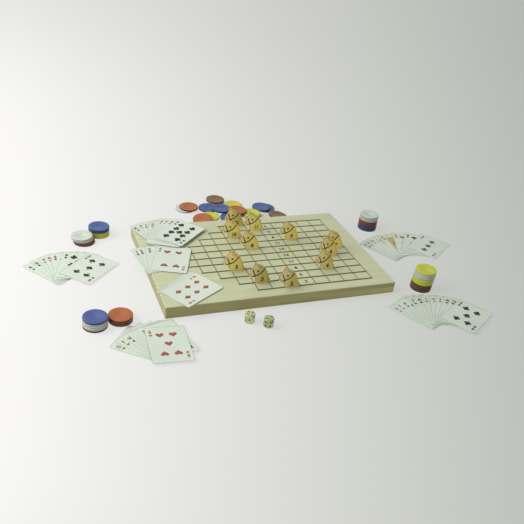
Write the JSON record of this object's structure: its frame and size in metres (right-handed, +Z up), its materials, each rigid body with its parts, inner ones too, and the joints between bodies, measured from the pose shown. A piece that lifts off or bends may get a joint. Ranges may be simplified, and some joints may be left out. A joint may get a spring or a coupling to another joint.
{
  "type": "horse race board game",
  "caption": "Wooden race board with slotted lanes, flat wooden horses that slide along them, dice, fanned playing cards and stacks of plastic chips.",
  "frame": {"origin": "centre of the board's underside, on the surface that the whole set lies on", "axes": "+X to the right along the board's front edge, along the lanes; +Y to the board's back edge; +Z up"},
  "size_m": [0.8413, 0.5669, 0.0612],
  "materials": {
    "board_top": "clear satin lacquer, printed lines",
    "board_side": "clear satin lacquer",
    "board_inner": "bare board",
    "screw_steel": "zinc plated",
    "horse_wood": "bare sanded, burnt marks",
    "die_plastic": "polished, black pips",
    "card_stock": "coated playing card",
    "chip_red": "moulded satin",
    "chip_blue": "moulded satin",
    "chip_yellow": "moulded satin",
    "chip_white": "moulded satin"
  },
  "bodies": {
    "board": {"top_panel": "board_top", "front_rail": "board_side", "back_rail": "board_side", "left_rail": "board_side", "right_rail": "board_side", "cross_ribs": "board_inner", "bottom_panel": "board_inner", "bottom_screws": "screw_steel"},
    "horse_2": {"horse_2": "horse_wood"},
    "horse_3": {"horse_3": "horse_wood"},
    "horse_4": {"horse_4": "horse_wood"},
    "horse_5": {"horse_5": "horse_wood"},
    "horse_6": {"horse_6": "horse_wood"},
    "horse_7": {"horse_7": "horse_wood"},
    "horse_8": {"horse_8": "horse_wood"},
    "horse_9": {"horse_9": "horse_wood"},
    "horse_10": {"horse_10": "horse_wood"},
    "horse_11": {"horse_11": "horse_wood"},
    "horse_12": {"horse_12": "horse_wood"},
    "die_left": {"die_left": "die_plastic"},
    "die_right": {"die_right": "die_plastic"},
    "cards_far_left": {"cards_far_left": "card_stock"},
    "cards_front_left": {"cards_front_left": "card_stock"},
    "cards_far_right": {"cards_far_right": "card_stock"},
    "cards_front_right": {"cards_front_right": "card_stock"},
    "cards_board_back": {"cards_board_back": "card_stock"},
    "cards_board_middle": {"cards_board_middle": "card_stock"},
    "cards_board_front": {"cards_board_front": "card_stock"},
    "chips_far_left_low": {"chips_far_left_low_red": "chip_red", "chips_far_left_low_white": "chip_white"},
    "chips_far_left_tall": {"chips_far_left_tall_yellow": "chip_yellow", "chips_far_left_tall_blue": "chip_blue"},
    "chips_front_left_tall": {"chips_front_left_tall_red": "chip_red", "chips_front_left_tall_white": "chip_white", "chips_front_left_tall_blue": "chip_blue"},
    "chips_front_left_low": {"chips_front_left_low_red": "chip_red"},
    "chips_far_right": {"chips_far_right_blue": "chip_blue", "chips_far_right_red": "chip_red", "chips_far_right_white": "chip_white"},
    "chips_front_right": {"chips_front_right_red": "chip_red", "chips_front_right_yellow": "chip_yellow", "chips_front_right_white": "chip_white"},
    "chips_pile": {"chips_pile_white": "chip_white", "chips_pile_red": "chip_red", "chips_pile_blue": "chip_blue", "chips_pile_yellow": "chip_yellow"},
    "chips_pile_right": {"chips_pile_right_white": "chip_white", "chips_pile_right_blue": "chip_blue", "chips_pile_right_red": "chip_red"}
  },
  "joints": [
    {"name": "horse_2_run", "type": "slide", "parent": "board", "child": "horse_2", "axis": [1, 0, 0], "range_m": [-0.04835, 0.14575]},
    {"name": "horse_3_run", "type": "slide", "parent": "board", "child": "horse_3", "axis": [1, 0, 0], "range_m": [-0.02865, 0.19155]},
    {"name": "horse_4_run", "type": "slide", "parent": "board", "child": "horse_4", "axis": [1, 0, 0], "range_m": [-0.1902, 0.0561]},
    {"name": "horse_5_run", "type": "slide", "parent": "board", "child": "horse_5", "axis": [1, 0, 0], "range_m": [-0.04995, 0.22245]},
    {"name": "horse_6_run", "type": "slide", "parent": "board", "child": "horse_6", "axis": [1, 0, 0], "range_m": [-0.26377, 0.0268]},
    {"name": "horse_7_run", "type": "slide", "parent": "board", "child": "horse_7", "axis": [1, 0, 0], "range_m": [-0.27697, 0.005]},
    {"name": "horse_8_run", "type": "slide", "parent": "board", "child": "horse_8", "axis": [1, 0, 0], "range_m": [-0.10423, 0.16915]},
    {"name": "horse_9_run", "type": "slide", "parent": "board", "child": "horse_9", "axis": [1, 0, 0], "range_m": [-0.193, 0.0794]},
    {"name": "horse_10_run", "type": "slide", "parent": "board", "child": "horse_10", "axis": [1, 0, 0], "range_m": [-0.05775, 0.18855]},
    {"name": "horse_11_run", "type": "slide", "parent": "board", "child": "horse_11", "axis": [1, 0, 0], "range_m": [-0.08455, 0.13565]},
    {"name": "horse_12_run", "type": "slide", "parent": "board", "child": "horse_12", "axis": [1, 0, 0], "range_m": [-0.02595, 0.16815]},
    {"name": "die_left_lift", "type": "slide", "parent": "board", "child": "die_left", "axis": [0, 0, 1], "range_m": [0, 0.08]},
    {"name": "die_right_lift", "type": "slide", "parent": "board", "child": "die_right", "axis": [0, 0, 1], "range_m": [0, 0.08]},
    {"name": "cards_far_left_lift", "type": "slide", "parent": "board", "child": "cards_far_left", "axis": [0, 0, 1], "range_m": [0, 0.08]},
    {"name": "cards_front_left_lift", "type": "slide", "parent": "board", "child": "cards_front_left", "axis": [0, 0, 1], "range_m": [0, 0.08]},
    {"name": "cards_far_right_lift", "type": "slide", "parent": "board", "child": "cards_far_right", "axis": [0, 0, 1], "range_m": [0, 0.08]},
    {"name": "cards_front_right_lift", "type": "slide", "parent": "board", "child": "cards_front_right", "axis": [0, 0, 1], "range_m": [0, 0.08]},
    {"name": "cards_board_back_lift", "type": "slide", "parent": "cards_board_middle", "child": "cards_board_back", "axis": [0, 0, 1], "range_m": [0, 0.08]},
    {"name": "cards_board_middle_lift", "type": "slide", "parent": "board", "child": "cards_board_middle", "axis": [0, 0, 1], "range_m": [0, 0.08]},
    {"name": "cards_board_front_lift", "type": "slide", "parent": "board", "child": "cards_board_front", "axis": [0, 0, 1], "range_m": [0, 0.08]},
    {"name": "chips_far_left_low_lift", "type": "slide", "parent": "board", "child": "chips_far_left_low", "axis": [0, 0, 1], "range_m": [0, 0.08]},
    {"name": "chips_far_left_tall_lift", "type": "slide", "parent": "board", "child": "chips_far_left_tall", "axis": [0, 0, 1], "range_m": [0, 0.08]},
    {"name": "chips_front_left_tall_lift", "type": "slide", "parent": "board", "child": "chips_front_left_tall", "axis": [0, 0, 1], "range_m": [0, 0.08]},
    {"name": "chips_front_left_low_lift", "type": "slide", "parent": "board", "child": "chips_front_left_low", "axis": [0, 0, 1], "range_m": [0, 0.08]},
    {"name": "chips_far_right_lift", "type": "slide", "parent": "board", "child": "chips_far_right", "axis": [0, 0, 1], "range_m": [0, 0.08]},
    {"name": "chips_front_right_lift", "type": "slide", "parent": "board", "child": "chips_front_right", "axis": [0, 0, 1], "range_m": [0, 0.08]},
    {"name": "chips_pile_lift", "type": "slide", "parent": "chips_pile_right", "child": "chips_pile", "axis": [0, 0, 1], "range_m": [0, 0.08]},
    {"name": "chips_pile_right_lift", "type": "slide", "parent": "board", "child": "chips_pile_right", "axis": [0, 0, 1], "range_m": [0, 0.08]}
  ]
}
